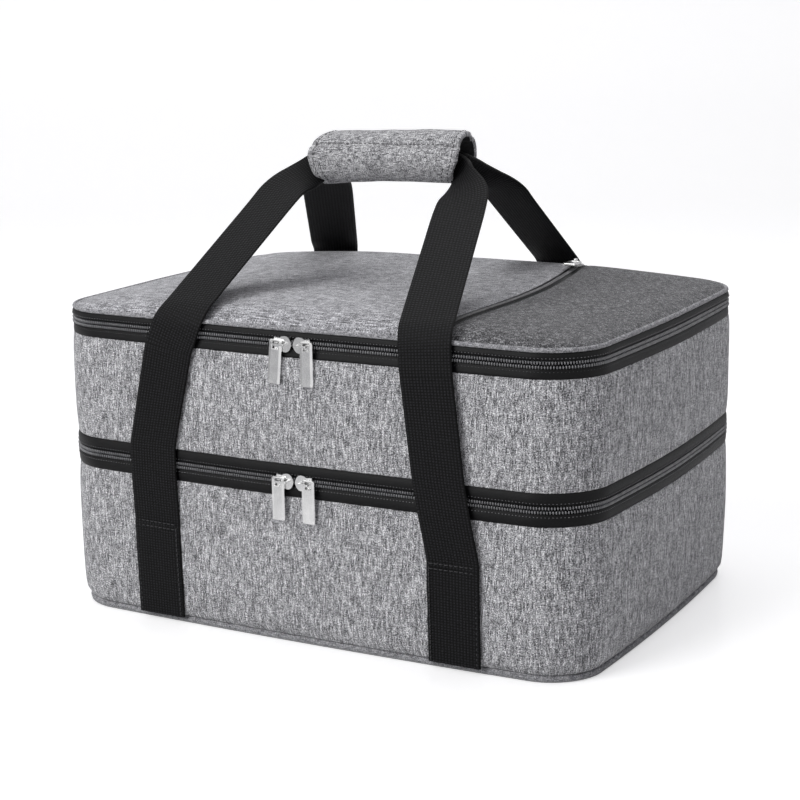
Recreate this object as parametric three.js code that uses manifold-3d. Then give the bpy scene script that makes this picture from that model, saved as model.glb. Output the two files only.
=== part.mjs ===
import * as THREE from 'three';
import { mergeVertices } from 'three/addons/utils/BufferGeometryUtils.js';
import Module from 'manifold-3d';

const wasm = await Module();
wasm.setup();

// An insulated carrier with two compartments, one above the other, in millimetres.
// X runs along the long side, Y from front to back, Z up from the middle of the base.

// Driving dimensions of the case, seen from above
const caseLength = 402;
const caseDepth = 292;
const cornerRadius = 36;
const endBow = 9;
const faceBow = 7.5;
const baseBowShare = 0.6;
const bellyHeight = 60;
const lidBowShare = 0.5;

// Heights of the two zip lines, and the crown of the lid
const lowerZipHeight = 115;
const upperZipHeight = 207.3;
const lidCrown = 7;
const crownPower = 4;

// Layers of the wall, and the gap left between two pieces
const clearance = 0.3;
const fabricThickness = 1.2;
const foamThickness = 6;
const floorFoamThickness = 5;
const linerThickness = 0.8;
const boardThickness = 2;
const pipingRadius = 2.1;
const pipingInset = 0.6;
const pipingSides = 6;

// Zip chain and tape
const coilHeight = 1.65;
const coilProud = 0.9;
const tapeThickness = 1;
const lowerTapeWidth = 8.6;
const deckTapeWidth = 6.6;
const lidTapeWidth = 4;
const zipEndX = 124;

// Pocket under the right part of the lid, behind a curved zip
const pocketArcRadius = 736;
const pocketArcX = 105;
const pocketArcY = -55;
const pocketTapeWidth = 4;
const pocketCoilWidth = 3.4;
const pocketZipFront = -128;
const pocketZipBack = 132;
const pocketSliderY = 118;
const pocketProud = 0.4;

// Zip slider and pull
const sliderLength = 13;
const sliderHeight = 10.8;
const sliderThickness = 1.6;
const sliderNose = 0.6;
const bailSection = 1.4;
const bailInner = 4.5;
const bailOuter = 11;
const pullWidth = 9.5;
const pullLength = 30;
const pullThickness = 1.8;
const pullBevel = 0.4;
const ringHoleWidth = 4.8;
const ringHoleAbove = 1.5;
const ringHoleBelow = 3.2;
const ringTop = 3;

// Webbing of the two handles
const webWidth = 38;
const webThickness = 1.8;
const anchorX = 115;
const backAnchorShift = -20;
const sewnTop = 75;
const foldedWidth = 19;
const foldedThickness = 4.6;
const gripGap = 0.6;

// Padded wrap that holds the two grips together
const wrapLeft = -74;
const wrapRight = 51;
const wrapHeight = 316;
const wrapTurn = 16;
const wrapPadThickness = 5.5;
const wrapCoverThickness = 1.2;
const wrapHingeAngle = 30;
const wrapLipAngle = 26;
const fastenerThickness = 0.7;

// Half sizes that many pieces share
const halfLength = caseLength / 2;
const halfDepth = caseDepth / 2;
const rad = Math.PI / 180;

// Levels that follow from the values above
const zipGap = clearance / 2;
const lowerCoilBase = lowerZipHeight - zipGap - coilHeight;
const lowerTapeBase = lowerCoilBase - clearance - lowerTapeWidth;
const caseWallTop = lowerTapeBase - clearance;
const deckCoilTop = lowerZipHeight + zipGap + coilHeight;
const deckTapeTop = deckCoilTop + clearance + lowerTapeWidth;
const deckWallBase = deckTapeTop + clearance;
const upperCoilBase = upperZipHeight - zipGap - coilHeight;
const upperTapeBase = upperCoilBase - clearance - deckTapeWidth;
const deckWallTop = upperTapeBase - clearance;
const lidCoilTop = upperZipHeight + zipGap + coilHeight;
const lidTapeTop = lidCoilTop + clearance + lidTapeWidth;
const pipingLevel = 0.2 + pipingRadius;
const caseWallBase = pipingLevel + pipingRadius + clearance;
const panelInset = pipingInset + pipingRadius + clearance;
const foamInset = fabricThickness + clearance;
const linerInset = foamInset + foamThickness + clearance;
const lowerFloor = caseWallBase + floorFoamThickness + clearance;
const deckSkinBase = lowerZipHeight + zipGap + 0.85;
const deckFoamBase = deckSkinBase + linerThickness + clearance;
const deckFloor = deckFoamBase + floorFoamThickness + clearance;
const rimDrop = 0.6;
const lidPipingLevel = lidTapeTop + clearance + pipingRadius;
const lidEdgeHeight = lidPipingLevel + pipingRadius;
const webStandOff = pipingRadius - pipingInset + 2 * clearance;

// Radii of the wrap's layers, from the two folded grips outwards
const wrapPadInner = Math.hypot(foldedWidth / 2, gripGap / 2 + foldedThickness) + clearance;
const wrapPadOuter = wrapPadInner + wrapPadThickness;
const wrapCoverInner = wrapPadOuter + clearance;
const wrapRadius = wrapCoverInner + wrapCoverThickness;

// A closed mesh from positions and triangles, with its faces turned outwards
function closedMesh(positions, triangles) {
  const at = (i) => new THREE.Vector3(...positions[i]);
  let volume = 0;
  for (const [a, b, c] of triangles) {
    volume += at(a).dot(at(b).cross(at(c)));
  }
  const index = [];
  for (const [a, b, c] of triangles) {
    index.push(...(volume > 0 ? [a, b, c] : [a, c, b]));
  }
  const geometry = new THREE.BufferGeometry();
  geometry.setAttribute('position', new THREE.Float32BufferAttribute(positions.flat(), 3));
  geometry.setIndex(index);
  return geometry;
}

// A three.js geometry as a solid that can be joined or cut, and back again
function solidOf(geometry) {
  let plain = geometry.clone();
  plain.deleteAttribute('normal');
  plain.deleteAttribute('uv');
  plain = mergeVertices(plain, 1e-4);
  return new wasm.Manifold(new wasm.Mesh({
    numProp: 3,
    vertProperties: new Float32Array(plain.attributes.position.array),
    triVerts: new Uint32Array(plain.index.array),
  }));
}

function geometryOf(solid) {
  const mesh = solid.getMesh();
  const geometry = new THREE.BufferGeometry();
  geometry.setAttribute('position', new THREE.BufferAttribute(mesh.vertProperties.slice(), 3));
  geometry.setIndex(new THREE.BufferAttribute(mesh.triVerts.slice(), 1));
  return geometry;
}

function extruded(shape, depth, curveSegments = 12) {
  return new THREE.ExtrudeGeometry(shape, { depth, bevelEnabled: false, curveSegments });
}

// Outline of the case: stations around a rounded rectangle, counter-clockwise from above.
// They start at the right end of the fabric hinge, run over it, then around the zip.
const sideSteps = { face: 8, end: 4, corner: 5 };

function outlineStations() {
  const list = [];
  const gap = clearance / 2;
  const straightX = halfLength - cornerRadius;
  const straightY = halfDepth - cornerRadius;
  const put = (x, y, angle) => {
    list.push({ x, y, nx: Math.cos(angle * rad), ny: Math.sin(angle * rad) });
  };
  const corner = (cx, cy, from) => {
    for (let i = 0; i <= sideSteps.corner; i++) {
      const angle = from + (90 * i) / sideSteps.corner;
      put(cx + cornerRadius * Math.cos(angle * rad), cy + cornerRadius * Math.sin(angle * rad), angle);
    }
  };
  const hingeSteps = sideSteps.face - 2;
  for (let i = 0; i <= hingeSteps; i++) {
    put((zipEndX - gap) * (1 - (2 * i) / hingeSteps), halfDepth, 90);
  }
  put(-(zipEndX + gap), halfDepth, 90);
  corner(-straightX, straightY, 90);
  for (let i = 1; i < sideSteps.end; i++) {
    put(-halfLength, straightY * (1 - (2 * i) / sideSteps.end), 180);
  }
  corner(-straightX, -straightY, 180);
  for (let i = 1; i < sideSteps.face; i++) {
    put(straightX * ((2 * i) / sideSteps.face - 1), -halfDepth, 270);
  }
  corner(straightX, -straightY, 270);
  for (let i = 1; i < sideSteps.end; i++) {
    put(halfLength, straightY * ((2 * i) / sideSteps.end - 1), 0);
  }
  corner(straightX, straightY, 0);
  put(zipEndX + gap, halfDepth, 90);
  return { list, hinge: list.slice(0, hingeSteps + 1), zip: list.slice(hingeSteps + 1) };
}

const outline = outlineStations();

// Share of the full bow at a height: less at the flat base and at the lid
function bowShare(z) {
  if (z < bellyHeight) {
    return THREE.MathUtils.mapLinear(z, 0, bellyHeight, baseBowShare, 1);
  }
  if (z > deckWallTop) {
    const top = Math.min(z, lidEdgeHeight);
    return THREE.MathUtils.mapLinear(top, deckWallTop, lidEdgeHeight, 1, lidBowShare);
  }
  return 1;
}

// Point on the outline, moved out by an offset, with the walls bowed at that height
function outlinePoint(station, offset, z) {
  const { x, y, nx, ny } = station;
  const share = bowShare(z);
  const alongX = Math.max(0, 1 - (x / halfLength) ** 2);
  const alongY = Math.max(0, 1 - (y / halfDepth) ** 2);
  const pastX = Math.abs(x) > halfLength - cornerRadius ? Math.sign(x) : 0;
  const pastY = Math.abs(y) > halfDepth - cornerRadius ? Math.sign(y) : 0;
  return [
    x + nx * offset + pastX * endBow * share * alongY,
    y + ny * offset + pastY * faceBow * share * alongX,
    z,
  ];
}

// Point on the front (side -1) or back (side 1) wall at a given X
function facePoint(x, side, offset, z) {
  return outlinePoint({ x, y: side * halfDepth, nx: 0, ny: side }, offset, z);
}

// One patch between two stations and two levels. The diagonal always climbs the same way,
// so that the faces of neighbouring layers stay parallel on the bowed walls.
function patch(positions, a, b, c, d) {
  return positions[c][2] >= positions[a][2] ? [[a, b, c], [a, c, d]] : [[a, b, d], [b, c, d]];
}

// A section of [offset, z] points carried right around the outline
function aroundOutline(section) {
  const stations = outline.list;
  const positions = stations.flatMap((s) => section.map(([o, z]) => outlinePoint(s, o, z)));
  const m = section.length;
  const triangles = [];
  for (let i = 0; i < stations.length; i++) {
    const next = (i + 1) % stations.length;
    for (let j = 0; j < m; j++) {
      const k = (j + 1) % m;
      triangles.push(...patch(positions, i * m + j, next * m + j, next * m + k, i * m + k));
    }
  }
  return closedMesh(positions, triangles);
}

// The same along one stretch, closed by a flat cap at each end
function alongOutline(stations, section) {
  const rings = stations.map((s) => section.map(([o, z]) => outlinePoint(s, o, z)));
  return closedLoft(rings);
}

function closedLoft(rings) {
  const m = rings[0].length;
  const last = (rings.length - 1) * m;
  const positions = rings.flat();
  const triangles = [];
  for (let i = 0; i < rings.length - 1; i++) {
    for (let j = 0; j < m; j++) {
      const k = (j + 1) % m;
      const a = i * m;
      const b = a + m;
      triangles.push(...patch(positions, a + j, b + j, b + k, a + k));
    }
  }
  for (let j = 1; j < m - 1; j++) {
    triangles.push([0, j, j + 1], [last, last + j + 1, last + j]);
  }
  return closedMesh(positions, triangles);
}

const rectangle = (inner, outer, low, high) => [[inner, low], [outer, low], [outer, high], [inner, high]];

function disc(offset, z, radius, sides) {
  return Array.from({ length: sides }, (_, i) => {
    const angle = (i * 360 * rad) / sides;
    return [offset + radius * Math.cos(angle), z + radius * Math.sin(angle)];
  });
}

// A stack of outlines, [offset, z] from first to last, closed by a flat cap at both ends
function stacked(levels) {
  const stations = outline.list;
  const n = stations.length;
  const positions = levels.flatMap(([o, z]) => stations.map((s) => outlinePoint(s, o, z)));
  const triangles = [];
  for (let i = 0; i < levels.length - 1; i++) {
    for (let j = 0; j < n; j++) {
      const k = (j + 1) % n;
      triangles.push(...patch(positions, i * n + j, i * n + k, (i + 1) * n + k, (i + 1) * n + j));
    }
  }
  const first = positions.length;
  positions.push([0, 0, levels[0][1]], [0, 0, levels.at(-1)[1]]);
  const base = (levels.length - 1) * n;
  for (let j = 0; j < n; j++) {
    const k = (j + 1) % n;
    triangles.push([first, k, j], [first + 1, base + j, base + k]);
  }
  return closedMesh(positions, triangles);
}

const plate = (inset, low, high) => stacked([[-inset, low], [-inset, high]]);

// Heights of a wall's rings: its ends, and each level at which the bow of the walls changes
function wallHeights(low, high) {
  const between = [lowerFloor, bellyHeight, deckWallTop].filter((z) => z > low + 0.01 && z < high - 0.01);
  return [low, ...between, high];
}

// A wall that follows the belly of the case
function wall(inset, thickness, low, high) {
  const heights = wallHeights(low, high);
  const outer = heights.map((z) => [-inset, z]);
  const inner = heights.map((z) => [-inset - thickness, z]).reverse();
  return aroundOutline([...outer, ...inner]);
}

// An open tray: floor and walls of one thickness
function tray(inset, thickness, low, high) {
  const heights = wallHeights(low, high);
  const outer = heights.map((z) => [-inset, z]);
  const inner = heights.map((z) => [-inset - thickness, z]).reverse();
  inner[inner.length - 1] = [-inset - thickness, low + thickness];
  return stacked([...outer, ...inner]);
}

// Height of the lid's crown above its edge
function crownAt(x, y) {
  const alongX = Math.max(0, 1 - Math.abs(x / halfLength) ** crownPower);
  const alongY = Math.max(0, 1 - Math.abs(y / halfDepth) ** crownPower);
  return lidCrown * alongX * alongY;
}

// A crowned sheet of the lid, by rings that shrink towards its middle
const crownRings = [1, 0.93, 0.8, 0.5];

function crownedSheet(inset, top, thickness) {
  const stations = outline.list;
  const n = stations.length;
  const positions = [];
  for (const level of [top, top - thickness]) {
    for (const scale of crownRings) {
      for (const station of stations) {
        const [x, y] = outlinePoint(station, -inset, lidEdgeHeight);
        positions.push([x * scale, y * scale, level + crownAt(x * scale, y * scale)]);
      }
    }
    positions.push([0, 0, level + lidCrown]);
  }
  const triangles = [];
  const below = crownRings.length * n + 1;
  for (let j = 0; j < n; j++) {
    const k = (j + 1) % n;
    for (let i = 0; i < crownRings.length - 1; i++) {
      const a = i * n;
      const b = a + n;
      triangles.push([a + j, a + k, b + k], [a + j, b + k, b + j]);
      triangles.push([below + a + j, below + b + k, below + a + k], [below + a + j, below + b + j, below + b + k]);
    }
    const inmost = (crownRings.length - 1) * n;
    triangles.push([inmost + j, inmost + k, below - 1]);
    triangles.push([below + inmost + k, below + inmost + j, 2 * below - 1]);
    triangles.push([k, j, below + j], [k, below + j, below + k]);
  }
  return closedMesh(positions, triangles);
}

// The pocket zip's line on the lid: an arc whose centre lies far to the left
const pocketCentreX = pocketArcX - pocketArcRadius;
const pocketAngle = (y) => Math.asin((y - pocketArcY) / pocketArcRadius);

// Everything to the left of that arc, as a tall block
function leftOfPocketArc(radius) {
  const shape = new THREE.Shape();
  const reach = caseDepth;
  const span = Math.asin(reach / radius);
  shape.moveTo(-caseLength, pocketArcY + reach);
  shape.lineTo(-caseLength, pocketArcY - reach);
  shape.absarc(pocketCentreX, pocketArcY, radius, -span, span, false);
  shape.closePath();
  const block = extruded(shape, lidEdgeHeight, 40);
  block.translate(0, 0, lidEdgeHeight / 2);
  return solidOf(block);
}

// A strip of the pocket zip that lies on the crowned lid
function pocketStrip(fromRadius, toRadius, top, thickness, steps = 18) {
  const rings = [];
  for (let i = 0; i <= steps; i++) {
    const y = THREE.MathUtils.lerp(pocketZipFront, pocketZipBack, i / steps);
    const angle = pocketAngle(y);
    const ring = [];
    for (const [radius, drop] of [[fromRadius, 0], [toRadius, 0], [toRadius, thickness], [fromRadius, thickness]]) {
      const px = pocketCentreX + radius * Math.cos(angle);
      const py = pocketArcY + radius * Math.sin(angle);
      ring.push([px, py, top + crownAt(px, py) - drop]);
    }
    rings.push(ring);
  }
  return closedLoft(rings);
}

// Webbing as a loft of flat sections: centre, width and face directions, width, thickness.
// Both faces are split along the same diagonals, so that a twisted stretch keeps its thickness.
function webbing(sections) {
  const positions = sections.flatMap(({ centre, across, face, width, thickness }) => {
    const half = across.clone().multiplyScalar(width / 2);
    const depth = face.clone().multiplyScalar(thickness / 2);
    return [[-1, -1], [1, -1], [1, 1], [-1, 1]].map(([u, v]) => {
      const p = centre.clone().addScaledVector(half, u).addScaledVector(depth, v);
      return [p.x, p.y, p.z];
    });
  });
  const triangles = [[0, 1, 2], [0, 2, 3]];
  for (let i = 0; i < sections.length - 1; i++) {
    const [a, b] = [4 * i, 4 * i + 4];
    triangles.push([a, b + 1, a + 1], [a, b, b + 1], [a + 1, b + 2, a + 2], [a + 1, b + 1, b + 2]);
    triangles.push([a + 2, b + 2, a + 3], [a + 3, b + 2, b + 3], [a + 3, b + 3, a], [a, b + 3, b]);
  }
  const end = positions.length - 4;
  triangles.push([end, end + 2, end + 1], [end, end + 3, end + 2]);
  return closedMesh(positions, triangles);
}

// Section of webbing that lies flat against the front or back wall
function onFace(x, side, offset, z) {
  const left = new THREE.Vector3(...facePoint(x - webWidth / 2, side, offset, z));
  const right = new THREE.Vector3(...facePoint(x + webWidth / 2, side, offset, z));
  const face = new THREE.Vector3(0, side, 0);
  const centre = left.clone().add(right).multiplyScalar(0.5).addScaledVector(face, webThickness / 2);
  const across = right.sub(left).normalize();
  return { centre, across, face, width: webWidth, thickness: webThickness };
}

// Where each strap stands: at its anchor, at the zip lines and at the lid's edge
const straps = {
  frontLeft: { side: -1, anchor: -anchorX, middle: -anchorX, edge: -96 },
  frontRight: { side: -1, anchor: anchorX, middle: 106, edge: 97 },
  backLeft: { side: 1, anchor: backAnchorShift - anchorX + 2, middle: -136, edge: -148 },
  backRight: { side: 1, anchor: backAnchorShift + anchorX - 4, middle: 86, edge: 62 },
};
const strapMiddle = 128;

function strapCentre(strap, z) {
  if (z < sewnTop) {
    return strap.anchor;
  }
  if (z < strapMiddle) {
    return THREE.MathUtils.mapLinear(z, sewnTop, strapMiddle, strap.anchor, strap.middle);
  }
  return THREE.MathUtils.mapLinear(z, strapMiddle, upperZipHeight, strap.middle, strap.edge);
}

function strapOffset(z) {
  return THREE.MathUtils.clamp(
    THREE.MathUtils.mapLinear(z, sewnTop, lowerTapeBase, clearance, webStandOff), clearance, webStandOff);
}

// A strap's run up its wall, between two heights
function strapRun(strap, low, high) {
  const inner = [bellyHeight, sewnTop, lowerTapeBase, strapMiddle, deckWallTop];
  const heights = [low, ...inner.filter((z) => z > low + 1 && z < high - 1), high];
  return webbing(heights.map((z) => onFace(strapCentre(strap, z), strap.side, strapOffset(z), z)));
}

// Half of a handle: up past the lid's edge, over the lid, then a turn into the wrap's end,
// where the webbing stands on edge. side is -1 for the front handle, end -1 for the left half.
function handleHalf(strap, end) {
  const { side, edge } = strap;
  const mouth = (end < 0 ? wrapLeft : wrapRight) + end * clearance;
  const outward = new THREE.Vector3(end, 0, 0);
  const up = new THREE.Vector3(0, 0, 1);
  const gripY = (side * (foldedThickness + gripGap)) / 2;
  const upright = onFace(edge, side, webStandOff, upperZipHeight + zipGap);
  const lidEdge = onFace(edge, side, webStandOff, lidPipingLevel);
  lidEdge.centre.z = lidEdgeHeight;
  const start = lidEdge.centre.clone().setZ(lidEdgeHeight + webThickness);
  const corner = new THREE.Vector3(mouth + end * wrapTurn, gripY, wrapHeight);
  const slope = corner.clone().sub(start).normalize();
  const section = (centre, tangent, turned, width, thickness) => {
    const across = outward.clone().lerp(up, turned);
    across.addScaledVector(tangent, -across.dot(tangent)).normalize();
    const face = tangent.clone().cross(across).multiplyScalar(side * end).normalize();
    return { centre, across, face, width, thickness };
  };
  const list = [
    section(upright.centre, up, 0, webWidth, webThickness),
    section(lidEdge.centre, up, 0, webWidth, webThickness),
    section(start, slope.clone().add(up).normalize(), 0, webWidth, webThickness),
  ];
  const toTurn = corner.clone().addScaledVector(slope, -wrapTurn);
  for (const t of [0.08, 0.5, 0.85]) {
    list.push(section(start.clone().lerp(toTurn, t), slope, 0, webWidth, webThickness));
  }
  const turn = new THREE.QuadraticBezierCurve3(toTurn, corner, new THREE.Vector3(mouth, gripY, wrapHeight));
  for (const t of [0, 0.25, 0.5, 0.75, 1]) {
    const width = THREE.MathUtils.lerp(foldedWidth * 1.2, foldedWidth, Math.sqrt(t));
    const thickness = THREE.MathUtils.lerp(webThickness, foldedThickness, t);
    const turned = THREE.MathUtils.smoothstep(t, -0.2, 0.8);
    list.push(section(turn.getPoint(t), turn.getTangent(t), turned, width, thickness));
  }
  return list;
}

function handleWebbing(left, right) {
  return webbing([...handleHalf(left, -1), ...handleHalf(right, 1).reverse()]);
}

// Part of the wrap: a band of a ring about the grips, between two angles from the top,
// positive towards the back, carried along X from one end of the wrap to the other
function wrapBand(from, to, inner, outer, endInset = 0) {
  const shape = new THREE.Shape();
  const angle = (degrees) => Math.PI / 2 - degrees * rad;
  shape.absarc(0, 0, outer, angle(from), angle(to), to > from);
  shape.absarc(0, 0, inner, angle(to), angle(from), to < from);
  shape.closePath();
  const steps = Math.max(4, Math.round(Math.abs(to - from) / 12));
  const length = wrapRight - wrapLeft - 2 * endInset;
  const band = extruded(shape, length, steps);
  band.rotateY(90 * rad);
  band.rotateX(90 * rad);
  band.translate(wrapLeft + endInset, 0, wrapHeight);
  return band;
}

// Slider plate with its bail, nose towards -X, its back face on the plane Y = 0
function sliderGeometry(mirror) {
  const half = sliderHeight / 2;
  const plateShape = new THREE.Shape();
  plateShape.moveTo(0, 0);
  plateShape.quadraticCurveTo(sliderLength * 0.08, half * 0.95, sliderLength * 0.34, half);
  plateShape.quadraticCurveTo(sliderLength * 0.58, half * 0.98, sliderLength * 0.66, half * 0.76);
  plateShape.lineTo(sliderLength, half * 0.84);
  plateShape.lineTo(sliderLength, -half * 0.84);
  plateShape.lineTo(sliderLength * 0.66, -half * 0.76);
  plateShape.quadraticCurveTo(sliderLength * 0.58, -half * 0.98, sliderLength * 0.34, -half);
  plateShape.quadraticCurveTo(sliderLength * 0.08, -half * 0.95, 0, 0);
  const body = extruded(plateShape, sliderThickness, 4);
  const arch = new THREE.Shape();
  const gapDepth = clearance * 2 + pullThickness;
  const low = sliderThickness * 0.5;
  const high = sliderThickness + gapDepth;
  const r = bailSection / 2;
  arch.moveTo(bailInner - r, low);
  arch.lineTo(bailInner + r, low);
  arch.lineTo(bailInner + r, high);
  arch.lineTo(bailOuter - r, high);
  arch.lineTo(bailOuter - r, low);
  arch.lineTo(bailOuter + r, low);
  arch.lineTo(bailOuter + r, high + r);
  arch.quadraticCurveTo(bailOuter + r, high + bailSection, bailOuter, high + bailSection);
  arch.lineTo(bailInner, high + bailSection);
  arch.quadraticCurveTo(bailInner - r, high + bailSection, bailInner - r, high + r);
  arch.closePath();
  const bail = extruded(arch, bailSection, 3);
  bail.rotateX(90 * rad);
  bail.translate(0, r, 0);
  const whole = geometryOf(solidOf(body).add(solidOf(bail)));
  whole.rotateX(90 * rad);
  if (mirror) {
    whole.scale(-1, 1, 1);
    whole.index.array.reverse();
  }
  return whole;
}

// Pull with its ring, hanging from the outer leg of the bail, pivot at the origin
function pullGeometry() {
  const half = pullWidth / 2 - pullBevel;
  const top = ringTop - pullBevel;
  const bottom = -(pullLength - ringTop - pullBevel);
  const round = 1.2;
  const shape = new THREE.Shape();
  shape.moveTo(-half + round, top);
  shape.lineTo(half - round, top);
  shape.quadraticCurveTo(half, top, half, top - round);
  shape.lineTo(half, bottom + round);
  shape.quadraticCurveTo(half, bottom, half - round, bottom);
  shape.lineTo(-half + round, bottom);
  shape.quadraticCurveTo(-half, bottom, -half, bottom + round);
  shape.lineTo(-half, top - round);
  shape.quadraticCurveTo(-half, top, -half + round, top);
  const hole = new THREE.Path();
  const side = ringHoleWidth / 2 + pullBevel;
  hole.moveTo(-side, ringHoleAbove + pullBevel);
  hole.lineTo(-side, -ringHoleBelow - pullBevel);
  hole.lineTo(side, -ringHoleBelow - pullBevel);
  hole.lineTo(side, ringHoleAbove + pullBevel);
  hole.closePath();
  shape.holes.push(hole);
  const pull = new THREE.ExtrudeGeometry(shape, {
    depth: pullThickness - 2 * pullBevel,
    bevelEnabled: true,
    bevelThickness: pullBevel,
    bevelSize: pullBevel,
    bevelSegments: 1,
    curveSegments: 2,
  });
  pull.translate(0, 0, pullBevel);
  pull.rotateX(90 * rad);
  return pull;
}

// Materials, one for each finish
const finish = (color, roughness, metalness = 0) => ({ color, roughness, metalness });
const finishes = {
  heather: finish(0x8f8f91, 0.95),
  darkHeather: finish(0x55555a, 0.95),
  webbing: finish(0x1b1b1c, 0.8),
  tape: finish(0x161617, 0.85),
  coil: finish(0x242426, 0.5),
  nickel: finish(0xd2d2d4, 0.25, 1),
  foam: finish(0xe8e8e4, 0.9),
  foil: finish(0xcfd2d6, 0.35, 0.6),
  board: finish(0x3c3c40, 0.7),
  hook: finish(0x121213, 0.95),
};

const group = new THREE.Group();

function add(name, finishName, geometry, parent = group) {
  const mesh = new THREE.Mesh(geometry, new THREE.MeshStandardMaterial(finishes[finishName]));
  mesh.name = name;
  parent.add(mesh);
  return mesh;
}

const skin = (low, high) => rectangle(-fabricThickness, 0, low, high);
const tapeSection = (low, high) => rectangle(-tapeThickness - 0.1, -0.1, low, high);

// One half of a zip chain: a bead that stands proud of its tape
function coilSection(low, high) {
  const cut = coilHeight * 0.3;
  return [[-fabricThickness, low], [coilProud - cut, low], [coilProud, low + cut],
    [coilProud, high - cut], [coilProud - cut, high], [-fabricThickness, high]];
}

// Lower compartment
add('base_panel', 'heather', plate(panelInset, 0, fabricThickness));
add('base_board', 'board', plate(panelInset, fabricThickness + clearance,
  fabricThickness + clearance + boardThickness));
add('base_piping', 'heather', aroundOutline(disc(-pipingInset, pipingLevel, pipingRadius, pipingSides)));
add('base_foam', 'foam', plate(foamInset, caseWallBase, caseWallBase + floorFoamThickness));
add('lower_wall', 'heather', wall(0, fabricThickness, caseWallBase, caseWallTop));
add('lower_foam', 'foam', wall(foamInset, foamThickness, lowerFloor, lowerCoilBase));
add('lower_liner', 'foil', tray(linerInset, linerThickness, lowerFloor, lowerCoilBase - rimDrop));
add('lower_zip_tape', 'tape', alongOutline(outline.zip, tapeSection(lowerTapeBase, lowerCoilBase - clearance)));
add('lower_zip_coil', 'coil', alongOutline(outline.zip, coilSection(lowerCoilBase, lowerZipHeight - zipGap)));
add('lower_hinge_strip', 'heather', alongOutline(outline.hinge, skin(lowerTapeBase, lowerZipHeight - zipGap)));

// Upper compartment
add('deck_lower_coil', 'coil', alongOutline(outline.zip, coilSection(lowerZipHeight + zipGap, deckCoilTop)));
add('deck_lower_tape', 'tape', alongOutline(outline.zip, tapeSection(deckCoilTop + clearance, deckTapeTop)));
add('deck_lower_hinge_strip', 'heather', alongOutline(outline.hinge, skin(lowerZipHeight + zipGap, deckTapeTop)));
add('deck_underside', 'foil', plate(foamInset, deckSkinBase, deckSkinBase + linerThickness));
add('deck_floor_foam', 'foam', plate(foamInset, deckFoamBase, deckFoamBase + floorFoamThickness));
add('deck_wall', 'heather', aroundOutline(skin(deckWallBase, deckWallTop)));
add('deck_foam', 'foam', wall(foamInset, foamThickness, deckFloor, upperCoilBase));
add('deck_liner', 'foil', tray(linerInset, linerThickness, deckFloor, upperCoilBase - rimDrop));
add('deck_upper_tape', 'tape', alongOutline(outline.zip, tapeSection(upperTapeBase, upperCoilBase - clearance)));
add('deck_upper_coil', 'coil', alongOutline(outline.zip, coilSection(upperCoilBase, upperZipHeight - zipGap)));
add('deck_upper_hinge_strip', 'heather', alongOutline(outline.hinge, skin(upperTapeBase, upperZipHeight - zipGap)));

// Lid
const lidPanelTop = lidEdgeHeight;
const lidFoamTop = lidPanelTop - fabricThickness - clearance;
const lidLinerTop = lidFoamTop - floorFoamThickness - clearance;
const zipHalf = pocketCoilWidth / 2 + clearance + pocketTapeWidth + clearance;
add('lid_coil', 'coil', alongOutline(outline.zip, coilSection(upperZipHeight + zipGap, lidCoilTop)));
add('lid_tape', 'tape', alongOutline(outline.zip, tapeSection(lidCoilTop + clearance, lidTapeTop)));
add('lid_hinge_strip', 'heather', alongOutline(outline.hinge, skin(upperZipHeight + zipGap, lidTapeTop)));
add('lid_piping', 'heather', aroundOutline(
  disc(-pipingInset, lidPipingLevel, pipingRadius, pipingSides)));
add('lid_foam', 'foam', crownedSheet(panelInset, lidFoamTop, floorFoamThickness));
add('lid_liner', 'foil', crownedSheet(foamInset, lidLinerTop, linerThickness));
const lidFabric = solidOf(crownedSheet(panelInset, lidPanelTop, fabricThickness));
const mainSide = leftOfPocketArc(pocketArcRadius - zipHalf);
const zipSide = leftOfPocketArc(pocketArcRadius + zipHalf);
add('lid_main_panel', 'heather', geometryOf(lidFabric.intersect(mainSide)));
add('lid_pocket_panel', 'darkHeather', geometryOf(lidFabric.subtract(zipSide)));
const coilEdge = pocketCoilWidth / 2;
const tapeFrom = coilEdge + clearance;
const tapeTo = tapeFrom + pocketTapeWidth;
add('pocket_left_tape', 'tape',
  pocketStrip(pocketArcRadius - tapeTo, pocketArcRadius - tapeFrom, lidPanelTop - 0.1, tapeThickness));
add('pocket_right_tape', 'tape',
  pocketStrip(pocketArcRadius + tapeFrom, pocketArcRadius + tapeTo, lidPanelTop - 0.1, tapeThickness));
add('pocket_coil', 'coil',
  pocketStrip(pocketArcRadius - coilEdge, pocketArcRadius + coilEdge, lidPanelTop + pocketProud,
    tapeThickness + pocketProud + 0.1));

// Sliders of the two long zips, in pairs that meet nose to nose at the middle of the front
const sliderGeometries = { left: sliderGeometry(true), right: sliderGeometry(false) };
const pull = pullGeometry();
const sliderBack = coilProud + clearance;
for (const [level, height] of [['lower', lowerZipHeight], ['upper', upperZipHeight]]) {
  for (const [hand, sign] of [['left', -1], ['right', 1]]) {
    const place = new THREE.Group();
    place.position.set(sign * sliderNose, facePoint(0, -1, sliderBack, height)[1], height);
    add(`${level}_${hand}_slider`, 'nickel', sliderGeometries[hand], place);
    const tab = add(`${level}_${hand}_pull`, 'nickel', pull, place);
    tab.position.set(sign * bailOuter, -(sliderThickness + clearance), 0);
    group.add(place);
  }
}

// Slider of the pocket zip, lying on the lid near its back end, pull towards the front
function pocketPoint(angle, radius) {
  const x = pocketCentreX + radius * Math.cos(angle);
  const y = pocketArcY + radius * Math.sin(angle);
  return new THREE.Vector3(x, y, lidPanelTop + pocketProud + crownAt(x, y));
}

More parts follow.
